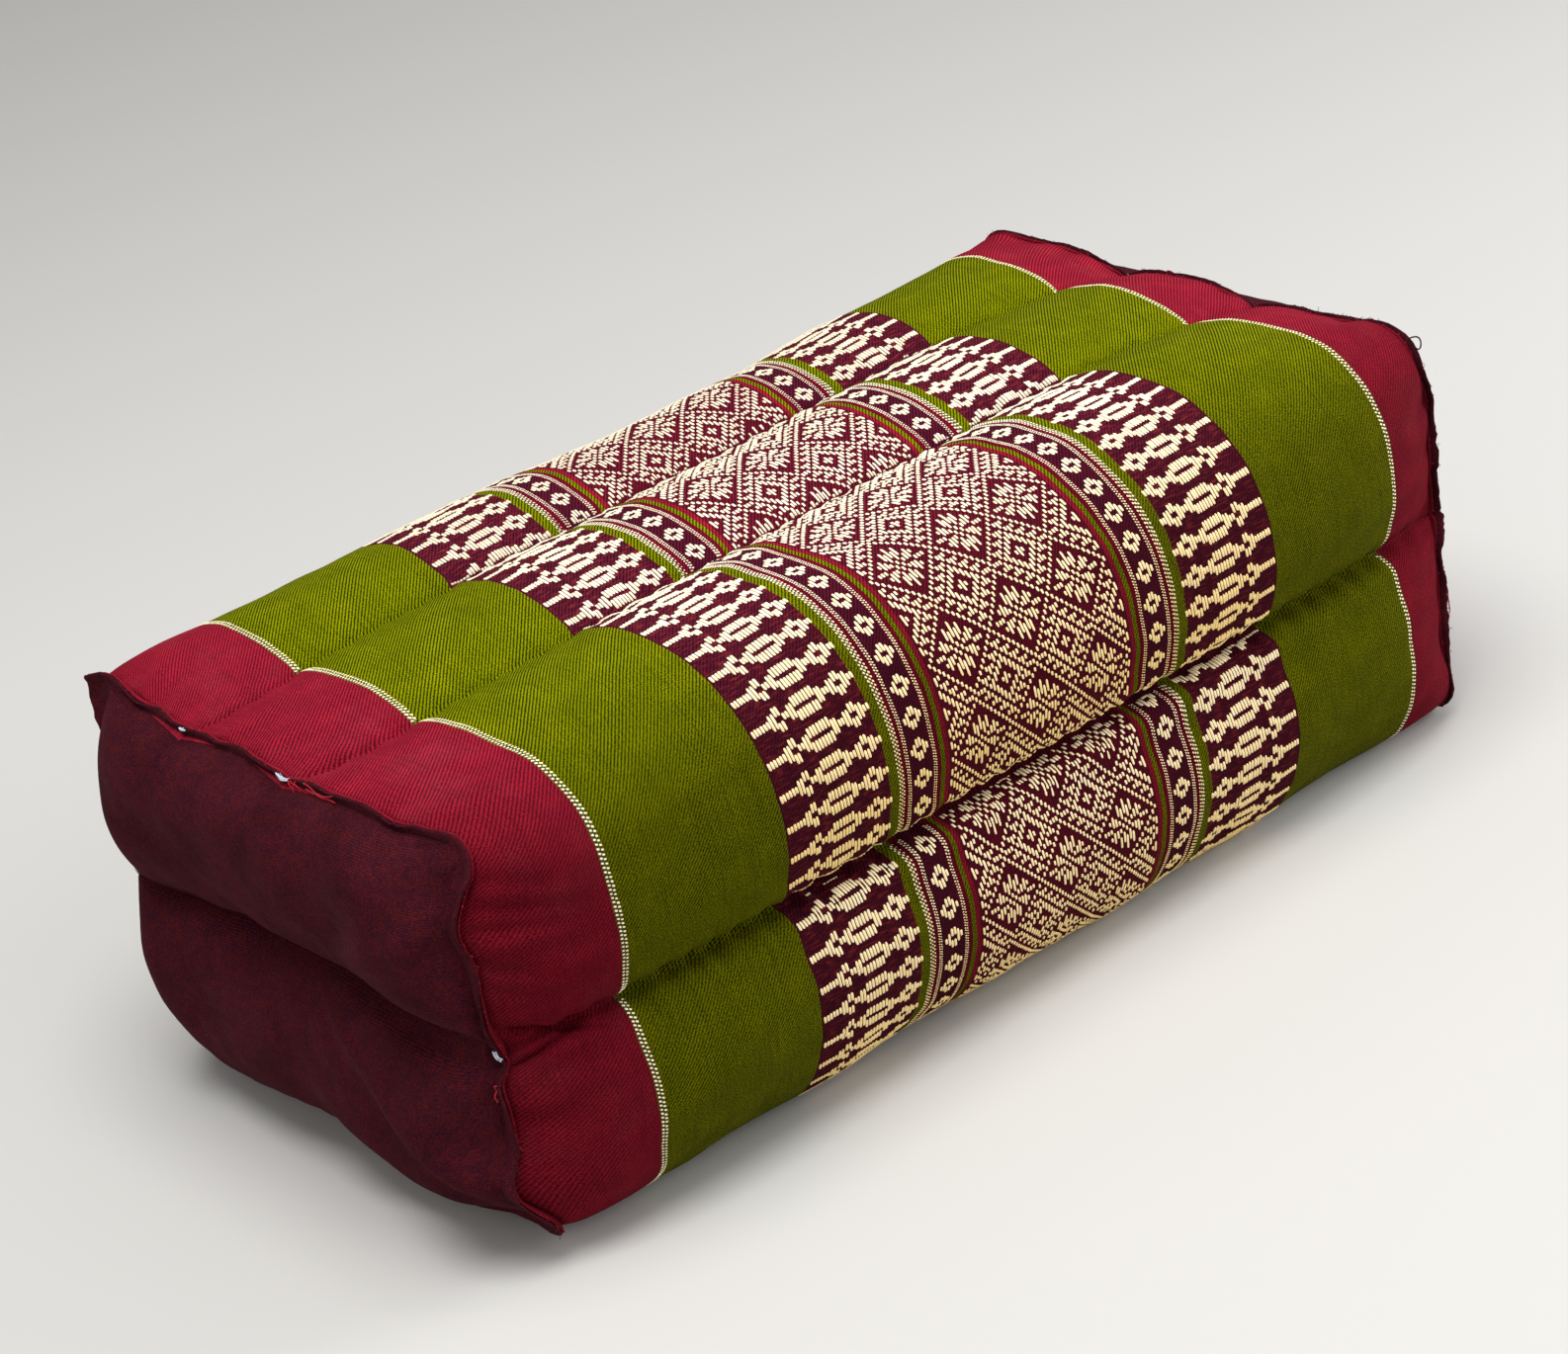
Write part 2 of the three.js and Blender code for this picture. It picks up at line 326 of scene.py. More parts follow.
# Relief of the wrap: sewn creases, puckers, lumps of the filling and gathers at the ends
SEAM_CALM = 4.0       # length beside an end seam over which the relief comes in
CREASE_DEPTH = 2.2
CREASE_WIDTH = 1.7
CREASE_GROWS = 45.0   # length from an end over which a crease reaches its full depth
CREASE_KEPT = 0.3     # share of its depth at the end seam
CREASE_KEPT_TOP = 0.85
TOP_MARGIN = 30.0     # how far the top reaches past its two channels
PUCKER_STEP = 9.0
PUCKER_DEPTH = 0.45
PUCKER_AT = 3.0       # from the channel
PUCKER_WIDTH = 5.0
LUMP_DEPTH = 0.55
FINE_LUMP_DEPTH = 0.16
LUMP_CALM = 12.0      # distance from a channel over which the lumps come in
GATHER_DEPTH = 1.2
GATHER_REACH = 9.0
LIFT_REACH = 12.0     # length over which the seam's own lift falls off
PUFF = 3.2            # how far the lobes swell beside the end seams
PUFF_NEAR = 5.0       # length over which a lobe rises from its seam to that
PUFF_FAR = 24.0       # and over which it falls off again along the cushion

# Folds that run from an end seam along the cushion: end, girth, length, width, depth and slant
FOLDS = [
    (-1, 129.5, 27.0, 1.3, 8.0, 0.64),
    (-1, 147.6, 24.0, 1.4, 6.6, -0.6),
    (-1, 139.5, 15.0, 4.2, -3.0, 0.05),
    (-1, 160.0, 26.0, 2.2, 2.8, -0.8),
    (-1, 168.0, 17.0, 2.2, 1.6, -0.3),
    (-1, 78.5, 26.0, 2.2, 3.0, 0.5),
    (-1, 85.5, 34.0, 2.4, 3.8, 0.45),
    (-1, 93.0, 30.0, 2.4, 3.6, 0.3),
    (-1, 104.0, 24.0, 2.6, 2.8, 0.8),
    (-1, 113.0, 22.0, 2.4, 2.2, 0.6),
    (1, 132.0, 20.0, 3.0, 1.6, 0.1),
    (1, 143.0, 18.0, 3.4, 1.3, -0.1),
    (1, 92.0, 14.0, 2.4, 1.2, 0.1),
    (1, 111.0, 14.0, 2.4, 1.2, 0.0),
    (-1, -196.0, 22.0, 2.4, 2.4, 0.3),
    (-1, -182.0, 20.0, 2.6, 1.8, -0.3),
    (1, -198.0, 22.0, 2.6, 2.2, -0.2),
]
FOLD_POWER = 1.3      # of how a fold dies away
FOLD_CALM = 3.0       # length beside the end seam over which it comes in


def folds(x, girth):
    depth = np.zeros(x.shape)
    counted = cloth_girth(girth)
    for side, at, length, width, deep, slant in FOLDS:
        inward = HALF_LENGTH - side * x
        line = at + slant * inward
        fading = np.clip(1 - inward / length, 0, 1) ** FOLD_POWER
        fading = fading * np.clip(inward / FOLD_CALM, 0, 1)
        depth += deep * fading * bell(counted, line, width)
    return depth


def crowns(girth):
    """How a lobe swells between its two channels: 0 at each, 1 midway."""
    girth = np.mod(girth, TOTAL_GIRTH)
    crown = np.zeros(girth.shape)
    for table, _ in GIRTHS:
        inside = (girth >= table[0]) & (girth <= table[-1])
        share = (girth[inside] - table[0]) / (table[-1] - table[0])
        crown[inside] = np.sqrt(np.abs(np.sin(math.pi * share)))
    return crown


# Where the free lower front lobe is fuller than the plain shape, and the upper back lobe slacker:
# amount, middle and spread round the cushion, and middle and spread along it
FULLER = [
    (2.8, (CHANNELS[1] + CHANNELS[2]) / 2 + 10, 26.0, 60.0, 85.0),
    (-4.2, (CHANNELS[4] + CHANNELS[5]) / 2 + 10, 34.0, 30.0, 75.0),
]


def fullness(x, girth):
    total = np.zeros(x.shape)
    girth = np.mod(girth, TOTAL_GIRTH)
    for amount, middle, spread, place_along, spread_along in FULLER:
        total += amount * bell(girth, middle, spread) * bell(x, place_along, spread_along)
    return total


# Where two lobes press together at a side channel: the channel, which way the lower lobe lies, and
# how far the lower and the upper lobe swell beside it
PRESSED = [(CHANNELS[1], 1, 3.2, 1.4), (CHANNELS[4], -1, 2.6, 1.6)]
PRESSED_AT = 8.0
PRESSED_WIDTH = 5.0
PRESSED_POWER = 4     # of how the swelling ends towards the end seams


def pressed(x, girth):
    total = np.zeros(x.shape)
    girth = np.mod(girth, TOTAL_GIRTH)
    along = np.abs(x) / HALF_LENGTH
    for channel, way, lower, upper in PRESSED:
        below = way * (girth - channel)
        amount = np.where(below > 0, lower, upper)
        total += amount * bell(np.abs(below), PRESSED_AT, PRESSED_WIDTH)
    return total * (1 - along**PRESSED_POWER)


def relief(x, girth):
    """How far the cloth stands out of the smooth wrap."""
    apart = from_channel(girth)
    counted = cloth_girth(girth)
    inward = HALF_LENGTH - np.abs(x)
    off_seam = 1 - np.exp(-inward / SEAM_CALM)
    late = np.clip(inward / CREASE_GROWS, 0, 1)
    on_top = (counted > CHANNELS[5] - TOTAL_GIRTH - TOP_MARGIN) & (counted < TOP_MARGIN)
    kept = np.where(on_top, CREASE_KEPT_TOP, CREASE_KEPT)
    crease = CREASE_DEPTH * np.exp(-apart / CREASE_WIDTH) * (kept + (1 - kept) * late)
    beat = np.cos(2 * math.pi * x / PUCKER_STEP + 1.2 * waves(x, 0, 40, 5))
    pucker = PUCKER_DEPTH * beat * bell(apart, PUCKER_AT, PUCKER_WIDTH)
    away = 1 - np.exp(-apart / LUMP_CALM)
    fine = FINE_LUMP_DEPTH * away * waves(x, counted, 17, 12)
    lumps = LUMP_DEPTH * away * waves(x, counted, 62, 11) + fine
    gather = GATHER_DEPTH * np.exp(-inward / GATHER_REACH) * waves(x * 0.35, counted, 21, 21)
    at_rim = by_end(x, RIM_CROWN)
    risen = at_rim + (PUFF - at_rim) * (1 - np.exp(-inward / PUFF_NEAR))
    puff = risen * bell(inward, 0, PUFF_FAR) * crowns(girth)
    lift = by_end(x, RIM_LIFT) * np.exp(-inward / LIFT_REACH)
    free = fullness(x, girth) + pressed(x, girth)
    return puff + lift + off_seam * (free + lumps + gather + pucker - crease - folds(x, girth))


# How far the slack lower corners hang: end, drop, and the middle and spread of it across the cushion
SAGS = [(-1, 7.0, 75.0, 50.0), (-1, 8.0, -45.0, 26.0), (1, 3.5, -70.0, 40.0)]
SAG_FROM = 70.0       # along the cushion
SAG_HEIGHTS = (75.0, 20.0)   # between which the drop comes in, from the upper one down
LEAST_HEIGHT = 0.5    # of the wrap's cloth over what it lies on, so that its yarn lies on that


def eased(value, start, end):
    """From 0 at the start to 1 at the end, smoothly."""
    share = np.clip((value - start) / (end - start), 0, 1)
    return share * share * (3 - 2 * share)


def sagged(points):
    """The points with the slack lower corners let down."""
    drop = np.zeros(points.shape[:-1])
    for side, depth, middle, spread in SAGS:
        late = eased(side * points[..., 0], SAG_FROM, HALF_LENGTH)
        drop += depth * late * bell(points[..., 1], middle, spread)
    drop = drop * eased(points[..., 2], *SAG_HEIGHTS)
    lowered = points.copy()
    lowered[..., 2] = np.maximum(points[..., 2] - drop, LEAST_HEIGHT)
    return lowered


def wrap_surface(x, girth):
    """Points of the finished cloth and their true outward normals."""
    step = 0.4
    here = plain_surface(x, girth)[0]
    forth = plain_surface(np.clip(x + step, -HALF_LENGTH, HALF_LENGTH), girth)[0]
    back = plain_surface(np.clip(x - step, -HALF_LENGTH, HALF_LENGTH), girth)[0]
    down = plain_surface(x, girth + step)[0]
    up = plain_surface(x, girth - step)[0]
    normals = np.cross(down - up, forth - back)
    normals /= np.maximum(np.linalg.norm(normals, axis=-1, keepdims=True), 1e-9)
    points = here + normals * relief(x, girth)[..., None]
    return sagged(points), normals


def rim(side, girth):
    """Points of an end seam, and their outward directions in the section."""
    points, outward = plain_surface(np.full(girth.shape, side * HALF_LENGTH), girth)
    stands = RIM_LIFT[side] + RIM_CROWN[side] * crowns(girth)
    return points + outward * stands[:, None], outward


def girth_samples():
    """Girths round the mesh from the join on, closer together beside the channels."""
    parts = []
    for lobe in list(range(JOIN_LOBE, len(LOBES))) + list(range(JOIN_LOBE)):
        table = GIRTHS[lobe][0]
        length = table[-1] - table[0]
        count = round(GIRTH_STEPS * length / TOTAL_GIRTH)
        share = np.arange(count) / count
        share = share - CLOSER_BESIDE * np.sin(2 * math.pi * share) / (2 * math.pi)
        start = table[0] if lobe >= JOIN_LOBE else table[0] + TOTAL_GIRTH
        parts.append(start + length * share)
    return np.concatenate(parts)


SAMPLES = girth_samples()


# Mesh building


def make_piece(name, points, faces, material, maps=None):
    """A smooth mesh from points in millimetres, with its maps given for every face corner."""
    mesh = bpy.data.meshes.new(name)
    mesh.from_pydata((np.asarray(points) * MM).tolist(), [], [list(face) for face in faces])
    mesh.polygons.foreach_set("use_smooth", [True] * len(mesh.polygons))
    for map_name, places in (maps or {}).items():
        layer = mesh.uv_layers.new(name=map_name)
        layer.data.foreach_set("uv", np.asarray(places, dtype=np.float32).ravel())
    mesh.materials.append(material)
    mesh.update()
    piece = bpy.data.objects.new(name, mesh)
    bpy.context.scene.collection.objects.link(piece)
    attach(piece, "root")
    return piece


def tube_faces(rings, around):
    """Quads between rings of points, closed round each ring."""
    ring = np.arange(rings - 1)[:, None]
    step = np.arange(around)[None, :]
    after = (step + 1) % around
    a = ring * around + step
    b = ring * around + after
    c = (ring + 1) * around + after
    d = (ring + 1) * around + step
    return np.stack([a, b, c, d], axis=-1).reshape(-1, 4)


# Sewn lips

LIP_LEANS = {-1: math.radians(12), 1: math.radians(16)}
LEAN_WAVE = 0.34              # how far the lean comes and goes, in radians
SWAY = 0.5                    # of the lip across itself
RAGGED = 0.1                  # unevenness of its cut edge, as a share of its reach
FINE_RAGGED = 0.07
RAGGED_LIMITS = (0.6, 1.25)


def lip_ring(side, girth, out, across):
    """A ring of the lip, out along it and across it towards the end panel."""
    points, outward = rim(side, girth)
    counted = cloth_girth(girth)
    share = out / PANEL_LIP[side]
    lean = LIP_LEANS[side] + LEAN_WAVE * waves(counted, 0, 34, 31 + side) * share
    sway = SWAY * waves(counted, 0, 15, 41 + side) * share
    ragged = RAGGED * waves(counted, 0, 11, 51 + side)
    ragged = ragged + FINE_RAGGED * waves(counted, 0, 4, 55 + side)
    length = out * np.clip(1 + ragged, *RAGGED_LIMITS)
    length = length * (1 - LIP_CUT[side] * np.abs(outward[:, 2]))
    along_x = np.zeros_like(points)
    along_x[:, 0] = side
    out_way = outward * np.cos(lean)[:, None] + along_x * np.sin(lean)[:, None]
    across_way = along_x * np.cos(lean)[:, None] - outward * np.sin(lean)[:, None]
    placed = sagged(points) + out_way * length[:, None] + across_way * (across + sway)[:, None]
    if side < 0:
        corner = cloth_girth((GIRTHS[EAR_LOBE][0][0] + GIRTHS[EAR_LOBE][0][-1]) / 2)
        near = bell(counted, corner, EAR_WIDTH) * share
        placed = placed + near[:, None] * np.array(EAR)
    placed[:, 2] = np.maximum(placed[:, 2], LEAST_HEIGHT)
    return placed


def lip_point(side, girth, out, across):
    return lip_ring(side, np.array([girth]), out, across)[0]


def lip_profile(inner, outer, reach):
    """The lip cloth's section from its root on one face, over its edge, to its root on the other."""
    middle = (inner + outer) / 2
    return [(0, outer), (reach * 0.35, outer), (reach * 0.7, outer), (reach * 0.93, outer),
            (reach, middle), (reach * 0.93, inner), (reach * 0.5, inner), (0, inner)]


# The wrap

# Rings that close the wrap under each end panel: the share of the way out to the seam, and how far
# the ring lies under the panel
CAP_RINGS = [
    (0.99, -1.6), (0.96, -3.0), (0.92, -4.0), (0.85, -5.0), (0.7, -5.0), (0.4, -5.0), (0.001, -5.0),
]
BAKE_MARGIN = 0.005   # round the bake's map


def wrap_rings(girth):
    """All rings of the wrap from the left end to the right, with the length that each maps to."""
    steps = np.linspace(-1, 1, LENGTH_STEPS)
    stations = HALF_LENGTH * np.sign(steps) * (1 - (1 - np.abs(steps)) ** CLOSER_AT_ENDS)
    lengths = list(stations[1:-1])
    rings = [wrap_surface(np.full(girth.shape, x), girth)[0] for x in lengths]
    for side in (-1, 1):
        profile = lip_profile(-LIP_PARTING, -LIP_PARTING - LIP_CLOTH, WRAP_LIP[side])
        end = [lip_ring(side, girth, out, across) for out, across in profile]
        end += [panel_ring(side, girth, share, offset) for share, offset in CAP_RINGS]
        reach = [side * (HALF_LENGTH + 1 + index) for index in range(len(end))]
        rings = end[::-1] + rings if side < 0 else rings + end
        lengths = reach[::-1] + lengths if side < 0 else lengths + reach
    return rings, lengths


def wrap_maps(lengths):
    """Cloth places of every face corner: in metres for the weave, and laid out for the bake."""
    column = np.append(SAMPLES, SAMPLES[0] + TOTAL_GIRTH) - TOTAL_GIRTH
    lengths = np.asarray(lengths)
    ring, step = np.indices((len(lengths) - 1, len(SAMPLES)))
    along = np.stack([lengths[ring], lengths[ring], lengths[ring + 1], lengths[ring + 1]], axis=-1)
    around = np.stack([column[step], column[step + 1], column[step + 1], column[step]], axis=-1)
    cloth = np.stack([along, around], axis=-1).reshape(-1, 2)
    low = cloth.min(axis=0)
    laid = BAKE_MARGIN + (1 - 2 * BAKE_MARGIN) * (cloth - low) / (cloth.max(axis=0) - low).max()
    return {"cloth": cloth * MM, "OFBake": laid}


def make_wrap(material):
    rings, lengths = wrap_rings(SAMPLES)
    points = np.concatenate(rings)
    faces = tube_faces(len(rings), len(SAMPLES))
    wrap = make_piece("patterned_wrap", points, faces, material, wrap_maps(lengths))
    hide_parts("cushion_body")


# The end panels


def rounding(distance, radius):
    flat = np.clip(distance / radius, 0, 1)
    return np.sqrt(1 - (1 - flat) ** 2)


def panel_bulge(across, rise):
    crown = rounding(SECTION["half_width"][1] - np.abs(across), PANEL_ROUND)
    radius = np.where(rise > 0, PANEL_ROUND_TOP, PANEL_ROUND)
    crown = crown * rounding(SECTION["half_height"][1] - np.abs(rise), radius)
    grooved = groove(np.abs(rise), PANEL_GROOVE, PANEL_GROOVE_SHARE)
    start, gain = PANEL_TOP_FULL
    upper = np.where(rise > 0, start + gain * rise / SECTION["half_height"][1], 1.0)
    return PANEL_BULGE * crown * upper * (1 - grooved)


def panel_relief(side, across, rise, share):
    """Lumps of the filling behind the panel, gathers at its seam and its sewn crease."""
    wide, fine = PANEL_LUMPS
    lumps = wide * waves(across, rise, 44, 61 + side) + fine * waves(across, rise, 15, 63 + side)
    turn = np.arctan2(rise, across) * 80
    gather = PANEL_GATHER * waves(turn, share * 20, 19, 71 + side) * share**6
    crease = PANEL_CREASE * np.exp(-np.abs(rise) / PANEL_CREASE_WIDTH)
    return (lumps - crease) * (1 - share**10) + gather * (1 - share**30)


def panel_ring(side, girth, share, offset):
    points, _ = rim(side, girth)
    bow = np.abs(points[:, 0]) - HALF_LENGTH
    across = points[:, 1] * share
    rise = (points[:, 2] - SIDE_CHANNEL_HEIGHT) * share
    length = HALF_LENGTH + bow * share**2 + panel_bulge(across, rise) + offset
    length = length + panel_relief(side, across, rise, np.full(girth.shape, share))
    return sagged(np.stack([side * length, across, SIDE_CHANNEL_HEIGHT + rise], axis=-1))


def laid_flat(rings):
    """Places of the panel's points when each radius of its cloth is laid out flat."""
    stack = np.stack(rings)
    steps = np.linalg.norm(np.diff(stack, axis=0), axis=2)
    spokes = stack[:, :, 1:] - np.array([0.0, SIDE_CHANNEL_HEIGHT])
    lengths = np.linalg.norm(spokes, axis=2, keepdims=True)
    start = np.zeros((1, stack.shape[1]))
    reach = lengths[0, :, 0] + np.concatenate([start, np.cumsum(steps, axis=0)])
    return (spokes / lengths * reach[..., None]).reshape(-1, 2)


def make_panel(side, name, node, material):
    girth = SAMPLES
    face = LIP_PARTING + LIP_CLOTH
    shares = 1 - (1 - np.linspace(*PANEL_SHARES, PANEL_RINGS)) ** PANEL_CLOSER
    rings = [panel_ring(side, girth, share, face) for share in shares]
    profile = lip_profile(LIP_PARTING, face, PANEL_LIP[side])
    rings += [lip_ring(side, girth, out, across) for out, across in profile]
    rings += [panel_ring(side, girth, share, LIP_PARTING) for share in PANEL_INSIDE]
    points = np.concatenate(rings)
    faces = tube_faces(len(rings), len(girth))
    if side < 0:
        faces = faces[:, ::-1]
    cloth = laid_flat(rings)[faces.ravel()] * MM
    panel = make_piece(name, points, faces, material, {"cloth": cloth})
    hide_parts(node)
    return panel


# Cream yarn floats of the pattern

# The middle field, charted from one star (pick 0, cell 0) to one small diamond (pick 10,
# cell 11): for each pick the first and last cell of every float. It mirrors in both directions.
FIELD_CHART = [
    [(1, 1), (3, 6), (10, 10)],
    [(0, 0), (2, 4), (9, 9), (11, 11)],
    [(1, 1), (3, 5), (8, 8), (11, 11)],
    [(1, 2), (7, 7), (9, 9), (11, 11)],
    [(1, 3), (6, 6), (9, 10)],
    [(0, 0), (2, 2), (5, 5), (7, 7), (9, 9), (11, 11)],
    [(0, 0), (4, 4), (7, 8), (10, 11)],
    [(0, 0), (3, 3), (5, 5), (7, 7), (9, 10)],
    [(2, 2), (5, 6), (8, 9)],
    [(1, 1), (3, 3), (5, 5), (7, 8), (11, 11)],
    [(0, 0), (3, 4), (6, 7), (10, 11)],
]

# One upright motif of the wide dark band, from its stem at the green to its tip: picks, and the
# least and greatest reach of the yarn on each side of the motif's axis, in millimetres.
MOTIF_CHART = [
    (6, 0.0, 1.15), (2, 0.0, 2.5), (2, 0.65, 3.65), (2, 0.0, 1.1), (2, 0.0, 2.45), (7, 0.4, 3.65),
    (2, 0.0, 2.45), (2, 0.0, 1.1), (2, 0.0, 2.45), (2, 0.55, 3.6), (2, 0.0, 2.4), (2, 0.0, 1.05),
]
MOTIF_OUTER = 91.6
MOTIF_INNER = 55.7

# One small ring flower of the narrow dark band, charted in the same way.
RING_CHART = [(1, 0.0, 1.05), (1, 0.0, 2.3), (2, 0.5, 3.4), (1, 0.0, 2.3), (1, 0.0, 1.05)]
RING_OUTER = 47.5
RING_PICK = 1.08

# Stripes of cream picks that tie down at every other warp: where they start, their picks, the
# pick's width, the length of one repeat, how much each pick steps on and how much of it is cream.
STRIPES = [
    (38.9, 2, 0.70, 0.86, 0.5, 0.76),
    (48.35, 2, 0.70, 0.86, 0.5, 0.76),
    (50.85, 3, 0.72, 1.27, 0.33, 0.78),
    (143.3, 2, 0.94, 1.3, 0.5, 0.74),
]


def repeats(repeat):
    """Starts of all repeats round the cloth that follow a row of stars."""
    first = math.floor((JOIN_GIRTH - TOTAL_GIRTH - STAR_AT) / repeat) - 1
    last = math.ceil((JOIN_GIRTH - STAR_AT) / repeat) + 1
    return [STAR_AT + repeat * number for number in range(first, last + 1)]


def field_floats():
    """Each float as its pick's place along the cushion, its two ends round it and its width."""
    floats = []
    for pick in range(-FIELD_PICKS, FIELD_PICKS + 1):
        column = abs((pick + HALF_REPEAT_PICKS) % (2 * HALF_REPEAT_PICKS) - HALF_REPEAT_PICKS)
        x = pick * PICK
        for start in repeats(STAR_REPEAT):
            for first, last in FIELD_CHART[column]:
                spans = [(first, last), (-last, -first)]
                if first == 0:
                    spans = [(-last, last)]
                if last == CELL_COUNT // 2:
                    spans = [(first, CELL_COUNT - first)]
                for low, high in spans:
                    begin = start + (low - 0.5) * CELL - FLOAT_SPREAD
                    end = start + (high + 0.5) * CELL + FLOAT_SPREAD
                    floats.append((x, begin, end, PICK * FIELD_YARN))
    return floats


def chart_floats(chart, outer, pick, side, starts):
    """Floats of a charted motif, one for each pick and each side of its axis where it is split."""
    floats = []
    number = 0
    for picks, least, most in chart:
        spans = [(-most, most)] if least == 0 else [(least, most), (-most, -least)]
        for _ in range(picks):
            x = side * (outer - (number + 0.5) * pick)
            number += 1
            for start in starts:
                for low, high in spans:
                    floats.append((x, start + low, start + high, pick * MOTIF_YARN))
    return floats


def motif_floats(side):
    picks = sum(entry[0] for entry in MOTIF_CHART)
    pick = (MOTIF_OUTER - MOTIF_INNER) / picks
    return chart_floats(MOTIF_CHART, MOTIF_OUTER, pick, side, repeats(MOTIF_REPEAT))


def ring_floats(side):
    return chart_floats(RING_CHART, RING_OUTER, RING_PICK, side, repeats(MOTIF_REPEAT))


def stripe_floats(side):
    floats = []
    for start, picks, width, repeat, step_on, cream in STRIPES:
        count = int(TOTAL_GIRTH / repeat)
        for pick in range(picks):
            x = side * (start + (pick + 0.5) * width)
            for number in range(count + 1):
                begin = JOIN_GIRTH - TOTAL_GIRTH + (number + pick * step_on) * repeat
                floats.append((x, begin, begin + repeat * cream, width))
    return floats


# A float's rounded shape: places along it with their height and width, and across it with height.
LONG_ALONG = [(0.0, -0.2, 0.72), (0.2, 0.94, 1.0), (0.8, 0.94, 1.0), (1.0, -0.2, 0.72)]
LONG_ACROSS = [(-0.5, 0.0), (-0.24, 0.95), (0.24, 0.95), (0.5, 0.0)]
SHORT_ALONG = [(0.0, -0.2, 0.7), (0.5, 1.0, 1.0), (1.0, -0.2, 0.7)]
SHORT_ACROSS = [(-0.5, 0.0), (0.0, 1.0), (0.5, 0.0)]

CHANNEL_GAP = 1.3     # yarn nearer to a channel than this is drawn into its crease
LEAST_FLOAT = 0.35
JOIN_MARGIN = 1.5     # between the yarn and the wrap's two edges
UNEVEN_PICK = 0.035
UNEVEN_END = 0.05
UNEVEN_HEIGHT = (0.85, 1.12)
FLOAT_LEAN = 0.10     # of a float along the cushion, for each millimetre of it
LEAN_LENGTH = 1.4     # up to which a float leans the more
EDGE_LIFT = 0.02      # of a float's edges over its flat ends
FLOAT_SINK = 0.05     # of all the yarn into the cloth


def trimmed(table):
    """The floats without what lies in a sewn crease."""
    for channel in CHANNELS:
        for line in (channel, channel - TOTAL_GIRTH):
            middle = (table[:, 1] + table[:, 2]) / 2
            before = middle < line
            low = np.where(before, table[:, 1], np.maximum(table[:, 1], line + CHANNEL_GAP))
            high = np.where(before, np.minimum(table[:, 2], line - CHANNEL_GAP), table[:, 2])
            table[:, 1] = low
            table[:, 2] = high
            table = table[table[:, 2] - table[:, 1] > LEAST_FLOAT]
    return table


def make_floats(name, floats, material, height, short, seed):
    """All floats of one part of the pattern as one mesh that lies on the cloth."""
    along = SHORT_ALONG if short else LONG_ALONG
    across = SHORT_ACROSS if short else LONG_ACROSS
    table = np.array(floats)
    table[:, 1:3] += PATTERN_SKEW * table[:, :1]
    table[:, 0] += PATTERN_SHIFT
    low = JOIN_GIRTH - TOTAL_GIRTH + JOIN_MARGIN
    table = trimmed(table[(table[:, 1] > low) & (table[:, 2] < JOIN_GIRTH - JOIN_MARGIN)])
    random = np.random.default_rng(seed)
    count = len(table)
    for part, uneven in enumerate((UNEVEN_PICK, UNEVEN_END, UNEVEN_END)):
        table[:, part] += random.normal(0, uneven, count)
    tall = height * random.uniform(*UNEVEN_HEIGHT, count)
    lean = FLOAT_LEAN * np.clip(table[:, 2] - table[:, 1], 0, LEAN_LENGTH)
    share, up, wide = np.array(along).T[:, None, :, None]
    over, arch = np.array(across).T[:, None, None, :]
    line, begin, end, width = table.T[:, :, None, None]
    x = line + over * wide * width + lean[:, None, None] * (share - 0.5)
    girth = begin + share * (end - begin) + 0 * over
    rise = tall[:, None, None] * np.minimum(up, up * arch + EDGE_LIFT) - FLOAT_SINK
    points, normals = wrap_surface(x, girth)
    points = points + normals * rise[..., None]
    rows, columns = len(along), len(across)
    first = (np.arange(rows - 1)[:, None] * columns + np.arange(columns - 1)).ravel()
    quads = np.stack([first, first + columns, first + columns + 1, first + 1], axis=-1)
    faces = (np.arange(count)[:, None, None] * rows * columns + quads).reshape(-1, 4)
    cloth = np.stack([x, girth], axis=-1).reshape(-1, 2)[faces.ravel()] * MM
    yarn = make_piece(name, points.reshape(-1, 3), faces, material, {"cloth": cloth})


# Sewing threads

NO_THREAD_WAY = (0.31, 0.52, 0.79)   # a direction that no thread runs in
TACK_STRANDS = 4
TACK_BEFORE = 3.0                    # how far before its channel a tack begins
TACK_UNEVEN = 0.6
TACK_LENGTH = (4.2, 5.8)
TACK_OUT = {-1: (0.72, 1.06), 1: (0.2, 0.5)}   # share of the lip's reach at which the tacks lie
TACK_POINTS = 6
TACK_ARCH = 0.35


def tube(path, radius, sides=6):
    """Points and faces of a round thread along a path."""
    path = np.asarray(path, float)
    ways = np.gradient(path, axis=0)
    ways /= np.linalg.norm(ways, axis=1, keepdims=True)
    first = np.cross(ways, np.array(NO_THREAD_WAY))
    first /= np.linalg.norm(first, axis=1, keepdims=True)
    second = np.cross(ways, first)
    turns = np.arange(sides) * 2 * math.pi / sides
    ring = first[:, None] * np.cos(turns)[None, :, None]
    ring = ring + second[:, None] * np.sin(turns)[None, :, None]
    points = (path[:, None] + radius * ring).reshape(-1, 3)
    faces = [list(face) for face in tube_faces(len(path), sides)]
    last = (len(path) - 1) * sides
    faces.append(list(range(sides))[::-1])
    faces.append(list(range(last, last + sides)))
    return points, faces


def make_threads(name, paths, radius, material, sides=6):
    """Several threads as one mesh."""
    points = []
    faces = []
    start = 0
    for path in paths:
        made, skin = tube(path, radius, sides)
        points.append(made)
        faces += [[start + corner for corner in side] for side in skin]
        start += len(made)
    return make_piece(name, np.concatenate(points), faces, material)


